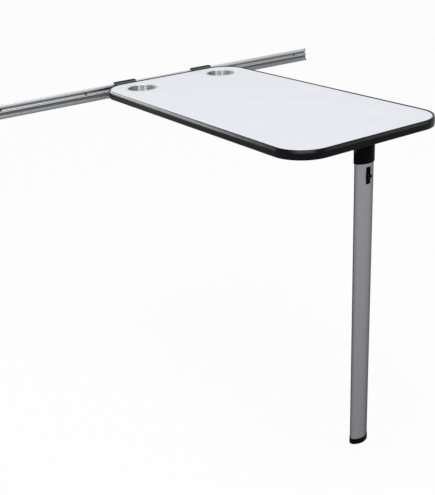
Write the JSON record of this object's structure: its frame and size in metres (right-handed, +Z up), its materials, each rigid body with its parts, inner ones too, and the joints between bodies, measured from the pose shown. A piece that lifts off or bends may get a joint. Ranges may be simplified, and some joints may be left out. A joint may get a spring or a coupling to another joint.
{
  "type": "wall-mounted folding table",
  "caption": "Table top with cup holders and a black edge, hooked on an aluminium wall rail, with one folding oval leg and a thumb catch.",
  "frame": {"origin": "middle of the rail's back face, on the wall", "axes": "+X along the wall to the right as seen from the room, +Y into the wall, +Z up"},
  "size_m": [0.935, 0.7678, 0.7008],
  "materials": {
    "rail_aluminium": "satin anodised extrusion",
    "black_cap": "moulded black plastic",
    "white_laminate": "white laminate faced board",
    "black_trim": "glossy black edge trim",
    "cup_steel": "polished drawn stainless steel",
    "hook_black": "semi-gloss black moulding",
    "pin_steel": "zinc plated steel",
    "blackened_steel": "black oxide steel",
    "hinge_black": "satin black moulding",
    "leg_aluminium": "satin grey anodised tube"
  },
  "bodies": {
    "rail": {"wall_rail": "rail_aluminium", "rail_end_cap_left": "black_cap", "rail_end_cap_right": "black_cap"},
    "table": {"table_board": "white_laminate", "edge_trim": "black_trim", "cup_holders": "cup_steel", "wall_hook_left": "hook_black", "wall_hook_right": "hook_black", "hinge_bracket": "hinge_black"},
    "leg": {"leg_tube": "leg_aluminium", "leg_head": "hinge_black", "hinge_pin": "blackened_steel", "catch_spring": "pin_steel", "leg_foot": "hinge_black"},
    "catch": {"release_catch": "hinge_black"}
  },
  "joints": [
    {"name": "table_tilt", "type": "hinge", "parent": "rail", "child": "table", "pos_m": [0, -0.0125, 0.01275], "axis": [-1, 0, 0], "range_deg": [0, 45]},
    {"name": "leg_fold", "type": "hinge", "parent": "table", "child": "leg", "pos_m": [0.0075, -0.7308, -0.02085], "axis": [1, 0, 0], "range_deg": [0, 90]},
    {"name": "catch_pull", "type": "slide", "parent": "leg", "child": "catch", "axis": [0, 0, -1], "range_m": [0, 0.006], "stiffness_N_per_m": 600, "springref_m": -0.006, "deforming": ["catch_spring"]}
  ]
}
